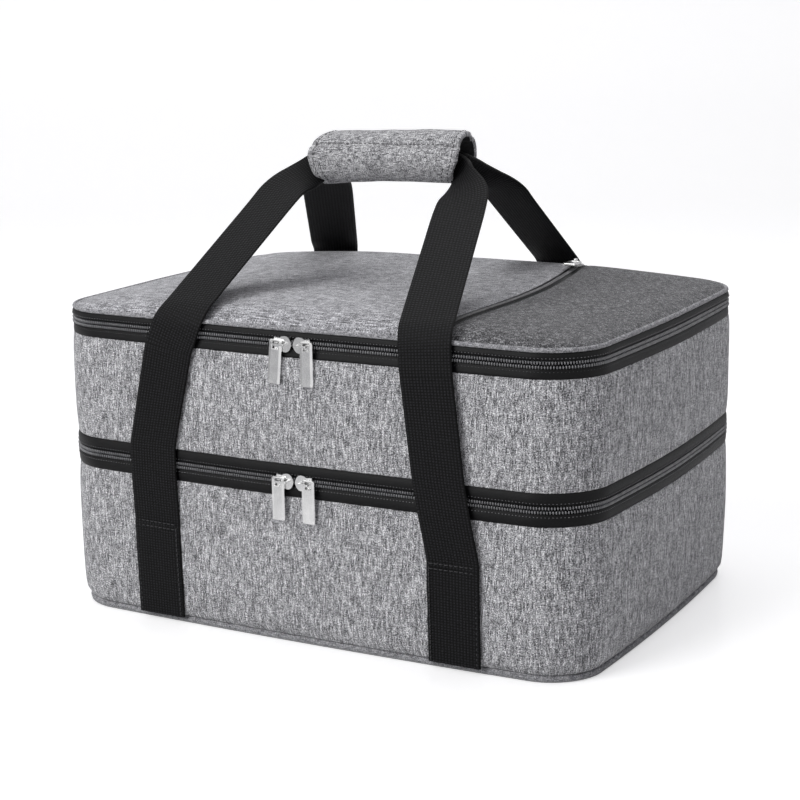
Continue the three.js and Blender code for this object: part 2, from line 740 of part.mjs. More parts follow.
const noseAngle = pocketAngle(pocketSliderY);
const tailAngle = noseAngle - sliderLength / pocketArcRadius;
const nose = pocketPoint(noseAngle, pocketArcRadius);
const tail = pocketPoint(tailAngle, pocketArcRadius);
const toTail = tail.clone().sub(nose).normalize();
const toRight = pocketPoint(noseAngle, pocketArcRadius + 1).sub(pocketPoint(noseAngle, pocketArcRadius - 1));
const intoLid = toRight.cross(toTail).normalize();
const alongSide = toTail.clone().cross(intoLid);
const pocketPlace = new THREE.Group();
pocketPlace.position.copy(nose).addScaledVector(intoLid, -clearance);
pocketPlace.quaternion.setFromRotationMatrix(new THREE.Matrix4().makeBasis(toTail, intoLid, alongSide));
add('pocket_slider', 'nickel', sliderGeometries.right, pocketPlace);
const pocketPull = add('pocket_pull', 'nickel', pull, pocketPlace);
pocketPull.position.set(bailOuter, -(sliderThickness + clearance), 0);
pocketPull.rotation.set(0, -90 * rad, 0);
group.add(pocketPlace);

// Webbing: sewn runs on the lower compartment, loose runs above them, and the handles
const foldGap = clearance / 2;
add('front_left_sewn_strap', 'webbing', strapRun(straps.frontLeft, caseWallBase, sewnTop - foldGap));
add('front_right_sewn_strap', 'webbing', strapRun(straps.frontRight, caseWallBase, sewnTop - foldGap));
add('back_left_sewn_strap', 'webbing', strapRun(straps.backLeft, caseWallBase, lowerZipHeight - foldGap));
add('back_right_sewn_strap', 'webbing', strapRun(straps.backRight, caseWallBase, lowerZipHeight - foldGap));
add('front_left_strap', 'webbing', strapRun(straps.frontLeft, sewnTop + foldGap, upperZipHeight - foldGap));
add('front_right_strap', 'webbing', strapRun(straps.frontRight, sewnTop + foldGap, upperZipHeight - foldGap));
add('back_left_strap', 'webbing', strapRun(straps.backLeft, lowerZipHeight + foldGap, upperZipHeight - foldGap));
add('back_right_strap', 'webbing', strapRun(straps.backRight, lowerZipHeight + foldGap, upperZipHeight - foldGap));
add('front_handle_webbing', 'webbing', handleWebbing(straps.frontLeft, straps.frontRight));
add('back_handle_webbing', 'webbing', handleWebbing(straps.backLeft, straps.backRight));

// Padded wrap: a fixed half on the front grip and a flap that closes under it
const seam = 0.6;
const bottom = 180;
add('wrap_cover', 'heather', wrapBand(wrapHingeAngle - seam, -bottom + seam, wrapCoverInner, wrapRadius));
add('wrap_pad', 'foam', wrapBand(wrapHingeAngle - seam, -bottom + seam, wrapPadInner, wrapPadOuter, 2));
add('wrap_flap_cover', 'heather', wrapBand(wrapHingeAngle + seam, bottom - seam, wrapCoverInner, wrapRadius));
add('wrap_flap_pad', 'foam', wrapBand(wrapHingeAngle + seam, bottom - seam, wrapPadInner, wrapPadOuter, 2));
const loopInner = wrapRadius + 0.2;
add('wrap_loop_strip', 'hook', wrapBand(-bottom + wrapLipAngle, -bottom + 3,
  loopInner, loopInner + fastenerThickness, 6));

export default group;
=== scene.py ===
import math
import bmesh
import bpy
from mathutils import Matrix, Vector, noise


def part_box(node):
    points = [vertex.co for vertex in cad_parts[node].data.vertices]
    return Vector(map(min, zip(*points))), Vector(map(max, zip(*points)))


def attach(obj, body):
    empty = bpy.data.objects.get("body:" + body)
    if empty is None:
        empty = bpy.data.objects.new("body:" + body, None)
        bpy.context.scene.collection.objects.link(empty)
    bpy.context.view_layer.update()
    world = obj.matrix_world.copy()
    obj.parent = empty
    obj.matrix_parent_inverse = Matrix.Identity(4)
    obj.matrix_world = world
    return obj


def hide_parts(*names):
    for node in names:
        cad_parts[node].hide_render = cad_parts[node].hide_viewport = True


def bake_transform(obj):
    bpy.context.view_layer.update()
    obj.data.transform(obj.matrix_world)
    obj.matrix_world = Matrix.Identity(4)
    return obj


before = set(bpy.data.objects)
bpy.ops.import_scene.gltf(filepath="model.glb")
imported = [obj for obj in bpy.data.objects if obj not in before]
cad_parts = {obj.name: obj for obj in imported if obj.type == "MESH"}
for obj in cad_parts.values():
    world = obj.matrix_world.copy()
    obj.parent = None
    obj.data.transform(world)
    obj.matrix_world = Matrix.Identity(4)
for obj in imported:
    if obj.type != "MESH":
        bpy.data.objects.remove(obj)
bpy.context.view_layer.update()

# Camera: a long lens at the front right, a little above the lid, as in the photograph.
azimuth, elevation, roll = math.radians(28.58), math.radians(12.6), math.radians(-0.79)
target = Vector((-0.00459, 0.0, 0.13875))
away = Vector((math.sin(azimuth) * math.cos(elevation), -math.cos(azimuth) * math.cos(elevation),
               math.sin(elevation)))
DISTANCE, FOCAL_PIXELS, IMAGE_WIDTH = 1.3869, 1900.5, 800.0
lens = bpy.data.cameras.new("studio_camera")
lens.sensor_width = 36.0
lens.lens = 36.0 * FOCAL_PIXELS / IMAGE_WIDTH
camera = bpy.data.objects.new("studio_camera", lens)
bpy.context.scene.collection.objects.link(camera)
bpy.context.scene.camera = camera
bpy.context.scene.view_settings.view_transform = "Standard"
right = away.cross(Vector((0, 0, 1))).normalized() * -1
up = away.cross(right)
right, up = (right * math.cos(roll) + up * math.sin(roll), up * math.cos(roll) - right * math.sin(roll))
camera.matrix_world = Matrix(
    [(r, u, a, t + a * DISTANCE) for r, u, a, t in zip(right, up, away, target)] + [(0, 0, 0, 1)])

# Studio floor: a wide sheet of smooth white card that runs up behind the bag. It shows white
# to the lens, keeps the bag's soft shadow and mirrors a little of it near the base.


def linear(hex_colour):
    """sRGB hex to the linear colour that a shader takes."""
    parts = [int(hex_colour[i:i + 2], 16) / 255 for i in (1, 3, 5)]
    return [c / 12.92 if c <= 0.04045 else ((c + 0.055) / 1.055) ** 2.4 for c in parts] + [1.0]


def add(tree, kind, settings=None, sockets=None):
    """One shader node. A socket's value is either a number or the output that feeds it."""
    n = tree.nodes.new("ShaderNode" + kind)
    for key, value in (settings or {}).items():
        setattr(n, key, value)
    for key, value in (sockets or {}).items():
        if isinstance(value, bpy.types.NodeSocket):
            tree.links.new(value, n.inputs[key])
        else:
            n.inputs[key].default_value = value
    return n


def material(name):
    """A material without any nodes yet, and its node tree."""
    m = bpy.data.materials.new(name)
    m.use_nodes = True
    m.node_tree.nodes.clear()
    return m, m.node_tree


def show(tree, shader):
    """Makes a shader node the surface of its material."""
    tree.links.new(shader.outputs[0], tree.nodes.new("ShaderNodeOutputMaterial").inputs["Surface"])


def mesh_object(name, verts, faces, mats, uvs=None, face_mats=None):
    """A mesh object from points and faces. uvs hold one pair per point, in metres of cloth."""
    me = bpy.data.meshes.new(name)
    me.from_pydata(verts, [], faces)
    if uvs:
        layer = me.uv_layers.new(name="cloth")
        flat = [c for loop in me.loops for c in uvs[loop.vertex_index]]
        layer.data.foreach_set("uv", flat)
    for m in mats:
        me.materials.append(m)
    if face_mats:
        me.polygons.foreach_set("material_index", face_mats)
    me.polygons.foreach_set("use_smooth", [True] * len(me.polygons))
    me.validate()
    me.update()
    ob = bpy.data.objects.new(name, me)
    bpy.context.scene.collection.objects.link(ob)
    return ob


def grid_faces(rows, columns, base=0, closed=False):
    """Faces between rows of points. base is the first point, closed joins each row's ends."""
    faces = []
    for j in range(rows - 1):
        for i in range(columns if closed else columns - 1):
            a, b = base + j * columns + i, base + j * columns + (i + 1) % columns
            faces.append((a, b, b + columns, a + columns))
    return faces


card, tree = material("smooth_white_card")
surface = add(tree, "BsdfPrincipled", sockets={
    "Base Color": linear("#F4F4F4"), "Roughness": 0.25, "Specular IOR Level": 0.4})
glow = add(tree, "Emission", sockets={"Color": (1, 1, 1, 1), "Strength": 0.47})
rays = add(tree, "LightPath")
seen = add(tree, "MixShader", sockets={0: rays.outputs["Is Camera Ray"]})
both = add(tree, "AddShader", sockets={0: surface.outputs[0], 1: glow.outputs[0]})
tree.links.new(surface.outputs[0], seen.inputs[1])
tree.links.new(both.outputs[0], seen.inputs[2])
show(tree, seen)
reach, rise, bend = 4.0, 3.0, 0.9
profile = [(-reach, 0.0), (reach * 0.55, 0.0)]
profile += [(reach * 0.55 + bend * math.sin(a), bend - bend * math.cos(a))
            for a in [math.radians(d) for d in range(9, 91, 9)]]
profile += [(profile[-1][0], rise)]
verts = [(x, y, z - 0.0002) for y, z in profile for x in (-reach * 1.5, reach * 1.5)]
faces = [(2 * i, 2 * i + 1, 2 * i + 3, 2 * i + 2) for i in range(len(profile) - 1)]
floor = mesh_object("studio_floor", verts, faces, [card])
floor.matrix_world = Matrix.Rotation(azimuth, 4, "Z")

world = bpy.data.worlds.new("studio_air")
bpy.context.scene.world = world
world.use_nodes = True
tree = world.node_tree
tree.nodes.clear()
out = tree.nodes.new("ShaderNodeOutputWorld")
rays = add(tree, "LightPath")
direct = rays.outputs["Is Camera Ray"]
for kind in ("Is Glossy Ray", "Is Transmission Ray"):
    direct = add(tree, "Math", {"operation": "MAXIMUM"}, {0: direct, 1: rays.outputs[kind]}).outputs[0]
level = add(tree, "MapRange", sockets={"Value": direct, "To Min": 0.27, "To Max": 1.0})
tint = add(tree, "Mix", {"data_type": "RGBA"}, {0: direct, 6: (0.94, 0.93, 1.0, 1), 7: (1, 1, 1, 1)})
sky = add(tree, "Background", sockets={"Color": tint.outputs[2], "Strength": level.outputs["Result"]})
tree.links.new(sky.outputs[0], out.inputs["Surface"])


def lamp(name, place, aim, size, power):
    """A square soft box that faces a point on the bag."""
    light = bpy.data.lights.new(name, "AREA")
    light.shape = "SQUARE"
    light.size = size
    light.energy = power
    ob = bpy.data.objects.new(name, light)
    bpy.context.scene.collection.objects.link(ob)
    ob.location = place
    ob.rotation_euler = (Vector(aim) - Vector(place)).to_track_quat("-Z", "Y").to_euler()


lamp("key_soft_box", (-1.1, -2.3, 1.9), (0, 0, 0.1), 1.6, 52)
lamp("top_soft_box", (0.1, 0.4, 2.4), (0, 0, 0.1), 2.0, 22)

# Grey flag: a sheet laid on the floor before the bag that only mirrors see. It gives the
# bright metal something darker to reflect, as such flags do in a studio.


def graded(tree, value, *stops):
    """A colour ramp over a value. Each stop is a position and a shade."""
    ramp = add(tree, "ValToRGB", sockets={0: value})
    marks = ramp.color_ramp.elements
    while len(marks) < len(stops):
        marks.new(0.5)
    for mark, (position, shade) in zip(marks, stops):
        mark.position = position
        mark.color = linear(shade)
    return ramp.outputs[0]


flag_card, tree = material("grey_flag_card")
where = add(tree, "TexCoord")
fade = add(tree, "SeparateXYZ", sockets={0: where.outputs["Generated"]})
shade = graded(tree, fade.outputs["X"], (0.0, "#5C5C5E"), (1.0, "#D2D2D4"))
show(tree, add(tree, "Emission", sockets={"Color": shade, "Strength": 1.0}))
corners = [(x, y, 0.001) for x, y in ((-1.9, -2.2), (-0.2, -2.2), (-0.2, -0.42), (-1.9, -0.42))]
flag = mesh_object("studio_flag", corners, [(0, 1, 2, 3)], [flag_card])
flag.visible_camera = False
flag.visible_diffuse = False
flag.visible_shadow = False
flag.visible_transmission = False

# Lower wall: grey melange polyester over closed-cell foam, sewn to the welt at the base and
# folded in along the zip. It follows the CAD's bowed outline and puffs a little between seams.
CASE_X, CASE_Y, CORNER = 0.201, 0.146, 0.036
END_BOW, FACE_BOW = 0.009, 0.0075
HINGE_X = 0.124
PUFF = 0.0011
BASE_SEAM = 0.0047
WALL_LOW = (BASE_SEAM, 0.1040)
WALL_HIGH = (0.1260, 0.1983)
LID_EDGE = 0.2179


def outline(step):
    """Stations x, y, nx, ny, s around the case, from the hinge's right end over the back."""
    path = []
    px, py = CASE_X - CORNER, CASE_Y - CORNER

    def straight(x0, y0, x1, y1, nx, ny):
        count = max(1, round(math.hypot(x1 - x0, y1 - y0) / step))
        for i in range(count):
            t = i / count
            path.append((x0 + (x1 - x0) * t, y0 + (y1 - y0) * t, nx, ny))

    def corner(cx, cy, start):
        count = max(4, round(CORNER * math.pi / 2 / step))
        for i in range(count):
            a = start + math.pi / 2 * i / count
            path.append((cx + CORNER * math.cos(a), cy + CORNER * math.sin(a), math.cos(a), math.sin(a)))

    straight(HINGE_X, CASE_Y, -HINGE_X, CASE_Y, 0, 1)
    straight(-HINGE_X, CASE_Y, -px, CASE_Y, 0, 1)
    corner(-px, py, math.pi / 2)
    straight(-CASE_X, py, -CASE_X, -py, -1, 0)
    corner(-px, -py, math.pi)
    straight(-px, -CASE_Y, px, -CASE_Y, 0, -1)
    corner(px, -py, -math.pi / 2)
    straight(CASE_X, -py, CASE_X, py, 1, 0)
    corner(px, py, 0)
    straight(px, CASE_Y, HINGE_X, CASE_Y, 0, 1)
    path.append((HINGE_X, CASE_Y, 0, 1))
    result, s = [], 0.0
    for i, (x, y, nx, ny) in enumerate(path):
        if i:
            s += math.hypot(x - path[i - 1][0], y - path[i - 1][1])
        result.append((x, y, nx, ny, s))
    return result


def bow_share(z):
    if z < 0.060:
        return 0.6 + 0.4 * z / 0.060
    if z > WALL_HIGH[1]:
        return 1 - 0.5 * (min(z, LID_EDGE) - WALL_HIGH[1]) / (LID_EDGE - WALL_HIGH[1])
    return 1.0


STRAPS = {"front_left": (-1, -0.115, -0.115, -0.096), "front_right": (-1, 0.115, 0.106, 0.097),
          "back_left": (1, -0.133, -0.136, -0.148), "back_right": (1, 0.091, 0.086, 0.0555)}
SEWN_TOP, LOWER_ZIP, STRAP_MIDDLE, UPPER_ZIP = 0.075, 0.115, 0.128, 0.2073


def strap_centre(strap, z):
    """Where a strap's middle lies at a height: straight where it is sewn, then leaning."""
    anchor, middle, edge = STRAPS[strap][1:]
    if z < SEWN_TOP:
        return anchor
    if z < STRAP_MIDDLE:
        return anchor + (middle - anchor) * (z - SEWN_TOP) / (STRAP_MIDDLE - SEWN_TOP)
    return middle + (edge - middle) * (z - STRAP_MIDDLE) / (UPPER_ZIP - STRAP_MIDDLE)


def puff(x, y, z):
    """How far the padded wall stands out between its seams; the straps press it flat."""
    for low, high in (WALL_LOW, WALL_HIGH):
        if low < z < high:
            t = abs(2 * (z - low) / (high - low) - 1)
            swell = PUFF * (1 - t ** 5)
            for strap, place in STRAPS.items():
                if place[0] * y > CASE_Y - CORNER / 2:
                    reach = (abs(x - strap_centre(strap, z)) - 0.018) / 0.014
                    swell *= min(1.0, max(0.0, reach))
            return swell
    return 0.0


def case_point(station, out, z):
    """Point of the case's skin: outline, bow at this height, and the hand-sewn unevenness."""
    x, y, nx, ny = station[:4]
    share = bow_share(z)
    fx = max(0.0, 1 - (x / CASE_X) ** 2)
    fy = max(0.0, 1 - (y / CASE_Y) ** 2)
    dx = math.copysign(END_BOW * share * fy, x) if abs(x) > CASE_X - CORNER else 0.0
    dy = math.copysign(FACE_BOW * share * fx, y) if abs(y) > CASE_Y - CORNER else 0.0
    swell = puff(x, y, z)
    if swell:
        swell += 0.0005 * (swell / PUFF) * noise.noise(Vector((x * 14, y * 14, z * 20)))
        seam = min(abs(z - level) for level in (*WALL_LOW, *WALL_HIGH))
        pucker = noise.noise(Vector((x * 95, y * 95, z * 12))) * math.exp(-seam / 0.009)
        swell += 0.0006 * pucker * min(1, seam / 0.002)
    lift = 0.0005 * noise.noise(Vector((x * 11, y * 11, 3.0))) * (0 if z < 0.02 else 1)
    return Vector((x + dx + nx * (out + swell), y + dy + ny * (out + swell), z + lift))


def sweep(name, stations, section, mats, tube=False):
    """A skin swept along stations. section holds (out, z) points, tube joins its two ends."""
    section = list(section)
    if tube:
        section.append(section[0])
    cross = [0.0]
    for a, b in zip(section, section[1:]):
        cross.append(cross[-1] + math.dist(a, b))
    verts, uvs = [], []
    for st in stations:
        for (o, z), v in zip(section, cross):
            verts.append(case_point(st, o, z))
            uvs.append((st[4], v))
    faces = [(a, d, c, b) for a, b, c, d in grid_faces(len(stations), len(section))]
    return mesh_object(name, verts, faces, mats, uvs)


def wall_section(low, high, rows):
    """Outside of a wall from its lower fold to its upper fold, each turned in by 1 mm."""
    fold = 0.0009
    section = [(-0.0012, low + 0.0002), (-0.0003, low)]
    section += [(0.0, low + fold + (high - low - 2 * fold) * i / rows) for i in range(rows + 1)]
    return section + [(-0.0003, high), (-0.0012, high - 0.0002)]


YARN_JUMP = 7.31  # how far apart in the noise two neighbouring yarns are read


def cloth_noise(tree, spot, detail, rough=0.5):
    """Flat noise read at a spot of the cloth."""
    return add(tree, "TexNoise", {"noise_dimensions": "2D"}, {
        "Vector": spot.outputs[0], "Scale": 1.0, "Detail": detail, "Roughness": rough}).outputs[0]


def scaled(tree, uv, across, along):
    """The cloth's own coordinates, measured in units of so many millimetres each way."""
    return add(tree, "Mapping", sockets={"Vector": uv, "Scale": (1000 / across, 1000 / along, 1)})


def times(tree, first, second):
    """The product of two values."""
    return add(tree, "Math", {"operation": "MULTIPLY"}, {0: first, 1: second}).outputs[0]


def mix(tree, share, first, second):
    """Two values mixed, with this share of the second."""
    return add(tree, "Mix", {"data_type": "FLOAT"}, {0: share, 2: first, 3: second}).outputs[0]


def relief(tree, strength, depth, height):
    """The bumps that a value raises, as a normal."""
    return add(tree, "Bump", sockets={"Strength": strength, "Distance": depth, "Height": height}).outputs[0]


def melange(name, shades, yarn_mm, slub_mm, lift, turned=False):
    """Woven polyester of light and dark yarns: each yarn changes shade along its slubs, and fine
    weft yarns cross it, with a fine grain over both. The yarns are drawn about twice as thick as
    the real ones, so that they show. turned lays the warp along the cloth's first direction."""
    m, tree = material(name)
    uv = add(tree, "UVMap", {"uv_map": "cloth"}).outputs[0]
    place = add(tree, "SeparateXYZ", sockets={0: uv})
    fields = []
    for warp, length in ((True, slub_mm), (False, slub_mm * 0.7)):
        across = int(warp == turned)
        yarn = times(tree, place.outputs[across], 1000 / yarn_mm)
        yarn = add(tree, "Math", {"operation": "FLOOR"}, {0: yarn}).outputs[0]
        spot = add(tree, "CombineXYZ", sockets={
            0: times(tree, yarn, YARN_JUMP), 1: times(tree, place.outputs[1 - across], 1000 / length)})
        fields.append(cloth_noise(tree, spot, 2.0, 0.6))
    grain = cloth_noise(tree, scaled(tree, uv, 0.8, 0.8), 1.0)
    clouds = cloth_noise(tree, scaled(tree, uv, 9, 30), 2.0)
    mixed = mix(tree, 0.33, *fields)
    mixed = mix(tree, 0.42, mixed, grain)
    mixed = mix(tree, 0.05, mixed, clouds)
    show(tree, add(tree, "BsdfPrincipled", sockets={
        "Base Color": graded(tree, mixed, *zip((0.37, 0.462, 0.538, 0.64), shades)),
        "Roughness": 0.92, "Specular IOR Level": 0.25, "Sheen Weight": 0.12, "Sheen Roughness": 0.5,
        "Normal": relief(tree, 0.4, lift, mixed)}))
    return m


grey_melange = melange("grey_melange_polyester",
                       ["#363638", "#838385", "#B3B3B6", "#F8F8F9"], 0.75, 7.5, 0.0004)
around = outline(0.0032)
TUCK, TUCK_TOP, TUCK_HEIGHT = 0.0034, 0.0125, 0.0078
section = [(o - TUCK * max(0.0, (TUCK_TOP - z) / TUCK_HEIGHT) ** 2, z)
           for o, z in wall_section(*WALL_LOW, 22)]
lower_wall = sweep("lower_wall_cloth", around, section, [grey_melange])
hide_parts("lower_wall", "lower_foam", "base_foam")
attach(lower_wall, "lower_case")

# Upper wall: the same cloth and foam round the upper compartment, between the two zips.
deck_wall = sweep("deck_wall_cloth", around, wall_section(*WALL_HIGH, 18), [grey_melange])
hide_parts("deck_wall", "deck_foam", "deck_floor_foam")
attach(deck_wall, "deck")

# Welts: cord 3 to 4 mm thick in a folded strip of the wall cloth, sewn round the base and round
# the lid. Its threads run along the welt. Its shades are darker than the wall cloth's: painted
# shade for the welt's shaded underside.
# Darker shades than the wall cloth's: painted shade.
grey_welt_painted_shade = melange("grey_melange_welt_strip_painted_shade",
                    ["#58585B", "#7F7F82", "#A0A0A3", "#C8C8CA"], 0.9, 4.0, 0.0003, turned=True)


def welt(name, radius, inset, level, body, node):
    """A round cord set in from the skin by inset. node is the CAD's own piping."""
    ring = [(-inset + radius * math.cos(a), level + radius * math.sin(a))
            for a in [math.tau * i / 14 for i in range(14)]]
    ob = sweep(name, around, ring, [grey_welt_painted_shade], tube=True)
    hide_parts(node)
    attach(ob, body)


welt("base_welt", 0.0021, 0.0042, 0.0024, "lower_case", "base_piping")
welt("lid_welt", 0.0015, 0.0005, 0.2164, "lid", "lid_piping")

# Zip tapes: black woven polyester tape, sewn along each edge of the cloth.
# Fine ribs run along the tape. The lid's tape is rolled over the edge of its padding.


def tape_material():
    m, tree = material("black_woven_zip_tape")
    uv = add(tree, "UVMap", {"uv_map": "cloth"}).outputs[0]
    ribs = add(tree, "TexWave", {"bands_direction": "Y"}, {
        "Vector": scaled(tree, uv, 7.0, 0.9).outputs[0], "Scale": 0.5, "Distortion": 0.6, "Detail": 1.0})
    both = mix(tree, 0.5, ribs.outputs["Fac"], cloth_noise(tree, scaled(tree, uv, 1.3, 0.7), 2.0))
    show(tree, add(tree, "BsdfPrincipled", sockets={
        "Base Color": graded(tree, both, (0.25, "#020203"), (0.8, "#0C0C0E")), "Roughness": 0.42,
        "Specular IOR Level": 0.16, "Sheen Weight": 0.01, "Normal": relief(tree, 0.5, 0.0003, both)}))
    return m


zip_tape = tape_material()
SAME = 1e-6


def at_back(station, half):
    """Whether a station lies on the back face, within this half width of its middle."""
    return station[1] > CASE_Y - SAME and abs(station[0]) < half


zip_path = [st for st in around[1:] if not at_back(st, HINGE_X - SAME)]
back_path = [st for st in around[:-1] if at_back(st, HINGE_X + SAME)]


def tape(name, low, high, bulge, body, node):
    """A tape between two heights, folded in at both edges and rounded out by bulge."""
    rows = 6
    section = [(-0.0012, low + 0.0001), (-0.0003, low)]
    section += [(bulge * math.sin(math.pi * i / rows), low + (high - low) * i / rows)
                for i in range(1, rows)]
    section += [(-0.0003, high), (-0.0012, high - 0.0001)]
    ob = sweep(name, zip_path, section, [zip_tape])
    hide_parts(node)
    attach(ob, body)


tape("lower_zip_tape_cloth", 0.1039, 0.1126, 0.0005, "lower_case", "lower_zip_tape")
tape("deck_lower_tape_cloth", 0.1174, 0.1261, 0.0006, "deck", "deck_lower_tape")
tape("deck_upper_tape_cloth", 0.1982, 0.2049, 0.0001, "deck", "deck_upper_tape")
tape("lid_tape_cloth", 0.2097, 0.2153, 0.0011, "lid", "lid_tape")

# Fabric hinges: between the zips' ends at the back, each zip gives way to a strip of wall
# cloth, which on the real bag folds when the compartment above opens. Here each strip is rigid
# and rides with its own part.


def hinge_strip(name, low, high, body, node):
    section = [(-0.0012, low), (0.0, low), (0.0002, (low + high) / 2), (0.0, high), (-0.0012, high)]
    ob = sweep(name, back_path, section, [grey_melange])
    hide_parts(node)
    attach(ob, body)


hinge_strip("lower_hinge_cloth", 0.1041, 0.11485, "lower_case", "lower_hinge_strip")
hinge_strip("deck_lower_hinge_cloth", 0.11515, 0.1259, "deck", "deck_lower_hinge_strip")
hinge_strip("deck_upper_hinge_cloth", 0.1984, 0.20715, "deck", "deck_upper_hinge_strip")
hinge_strip("lid_hinge_cloth", 0.20745, 0.2155, "lid", "lid_hinge_strip")

# Zip chains: black nylon coil, one turn every 1.8 mm on each tape, glossy, so that each turn
# catches the light. Its colour is a mid grey, far lighter than the real black coil: painted
# highlight for the glints on its turns. Each half rides with its own compartment.
PITCH = 0.0018


def speckled(name, scale, detail, shades, surface, bump=None):
    """A material with fine specks of two shades. bump holds strength and depth of the specks."""
    m, tree = material(name)
    speck = add(tree, "TexNoise", sockets={
        "Vector": add(tree, "TexCoord").outputs["Object"], "Scale": scale, "Detail": detail}).outputs[0]
    sockets = {"Base Color": graded(tree, speck, *zip((0.0, 1.0), shades)), **surface}
    if bump:
        sockets["Normal"] = relief(tree, *bump, speck)
    show(tree, add(tree, "BsdfPrincipled", sockets=sockets))
    return m


# Mid grey in place of the coil's black: painted highlight for the glints on its glossy turns.
coil_painted_highlight = speckled("black_nylon_coil_painted_highlight", 220.0, 2.0, ["#4A4A4C", "#909093"],
                      {"Roughness": 0.22, "IOR": 1.53, "Specular IOR Level": 0.8})


def walk(path, step, shift=0.0):
    """Evenly spaced stations along a run of stations."""
    marks = []
    for a, b in zip(path, path[1:]):
        span = b[4] - a[4]
        first = math.ceil((a[4] - shift) / step)
        while first * step + shift < b[4]:
            t = (first * step + shift - a[4]) / span
            marks.append([a[k] + (b[k] - a[k]) * t for k in range(5)])
            first += 1
    return marks


def chain_half(name, low, high, body, node, shift):
    """Each turn of the coil as a rounded bead across the chain."""
    verts, faces = [], []
    rings = [(-1.0, 0.0), (-0.75, 0.75), (0.0, 1.0), (0.75, 0.75), (1.0, 0.0)]
    mid, half = (low + high) / 2, (high - low) / 2
    for st in walk(zip_path, PITCH, shift):
        tangent = Vector((-st[3], st[2], 0))
        base = len(verts)
        for z, r in rings:
            for k in range(6):
                a = math.tau * k / 6
                p = case_point(st, -0.0002 + 0.0012 * r * math.cos(a), mid + half * z)
                verts.append(p + tangent * (PITCH * 0.33 * r * math.sin(a)))
        faces += grid_faces(len(rings), 6, base, closed=True)
    ob = mesh_object(name, verts, faces, [coil_painted_highlight])
    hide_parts(node)
    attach(ob, body)


chain_half("lower_coil_turns", 0.1125, 0.1148, "lower_case", "lower_zip_coil", 0.0)
chain_half("deck_lower_coil_turns", 0.1152, 0.1175, "deck", "deck_lower_coil", PITCH / 2)
chain_half("deck_upper_coil_turns", 0.2048, 0.2071, "deck", "deck_upper_coil", 0.0)
chain_half("lid_coil_turns", 0.2075, 0.2098, "lid", "lid_coil", PITCH / 2)

# Tape seams: a row of short glossy nylon stitches holds each coil to its tape, 2 mm from it.
# They share the coil's mid grey, which is painted highlight.


def seam_row(name, level, out, body):
    """A row of stitches along the zip, each a small pointed bead."""
    verts, faces = [], []
    for st in walk(zip_path, 0.0023):
        along = Vector((-st[3], st[2], 0)) * 0.0006
        base = len(verts)
        low, high = case_point(st, out, level - 0.0003), case_point(st, out, level + 0.0003)
        middle = (low + high) / 2
        outer, inner = case_point(st, out + 0.0005, level), case_point(st, out - 0.0005, level)
        verts += [middle - along, low, outer, high, inner, middle + along]
        for k in range(4):
            a, b = base + 1 + k, base + 1 + (k + 1) % 4
            faces += [(base, b, a), (base + 5, a, b)]
    ob = mesh_object(name, verts, faces, [coil_painted_highlight])
    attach(ob, body)


seam_row("lower_tape_seam", 0.1106, 0.0006, "lower_case")
seam_row("deck_lower_tape_seam", 0.1194, 0.0006, "deck")
seam_row("deck_upper_tape_seam", 0.2029, -0.0002, "deck")
seam_row("lid_tape_seam", 0.2116, 0.0010, "lid")

# Lid: a padded sheet that crowns 10 mm above its edge and rolls down to it. A curved pocket zip
# parts the light main panel, whose yarns run along the front, from the darker pocket panel.
PANEL_INSET, CROWN = 0.0027, 0.0102
POCKET_R, POCKET_X, POCKET_Y = 0.736, 0.105 - 0.736, -0.055
ZIP_HALF = 0.0038


def lid_height(x, y):
    """Height of the lid's cloth: crown, rolled edge and the soft hollows of a padded sheet."""
    px, py = abs(x) / (CASE_X - PANEL_INSET), abs(y) / (CASE_Y - PANEL_INSET)
    crown = CROWN * max(0.0, 1 - px ** 3.4) * max(0.0, 1 - py ** 11)
    r = CORNER - PANEL_INSET
    qx, qy = abs(x) - (CASE_X - CORNER), abs(y) - (CASE_Y - CORNER)
    depth = r - math.hypot(max(qx, 0), max(qy, 0)) - min(max(qx, qy), 0)
    edge = 0.0018 * math.exp(-max(0.0, depth) / 0.0022)
    hollow = 0.0006 * noise.noise(Vector((x * 16, y * 16, 7.0))) * min(1.0, max(0.0, depth) / 0.02)
    return LID_EDGE + crown - edge + hollow


def bowed(x, y, z):
    """The same bow in plan as the walls have at the lid, faded towards the middle."""
    share = bow_share(z)
    dx = END_BOW * share * max(0.0, 1 - (y / CASE_X) ** 2) * min(1.0, abs(x) / (CASE_X - CORNER)) ** 2
    dy = FACE_BOW * share * max(0.0, 1 - (x / CASE_X) ** 2) * min(1.0, abs(y) / (CASE_Y - CORNER)) ** 2
    return Vector((x + math.copysign(dx, x), y + math.copysign(dy, y), z))


def pocket_x(y, radius):
    return POCKET_X + math.sqrt(radius ** 2 - (y - POCKET_Y) ** 2)


def lid_rows():
    """Rows across the lid as y with the half width there, close together round the corners."""
    r = CORNER - PANEL_INSET
    ends = [(CASE_Y - CORNER + r * math.sin(a), CASE_X - CORNER + r * math.cos(a))
            for a in [math.radians(d) for d in range(90, 0, -6)]]
    half = CASE_X - CORNER + r
    middle = [(-0.110 + 0.220 * i / 30, half) for i in range(31)]
    return [(-y, w) for y, w in ends] + middle + [(y, w) for y, w in reversed(ends)]


def lid_panel(name, left, right, columns, mats):
    """Part of the lid between two lines, given as functions of y and the half width."""
    verts, uvs = [], []
    rows = lid_rows()
    for y, w in rows:
        x0, x1 = left(y, w), right(y, w)
        for i in range(columns + 1):
            t = i / columns
            t = t - 0.06 * math.sin(math.tau * t)
            x = x0 + (x1 - x0) * t
            seam = min(abs(x - pocket_x(y, POCKET_R + half)) for half in (-ZIP_HALF, ZIP_HALF))
            verts.append(bowed(x, y, lid_height(x, y) + 0.0003 - 0.0007 * math.exp(-seam / 0.0025)))
            uvs.append((x, y))
    return mesh_object(name, verts, grid_faces(len(rows), columns + 1), mats, uvs)


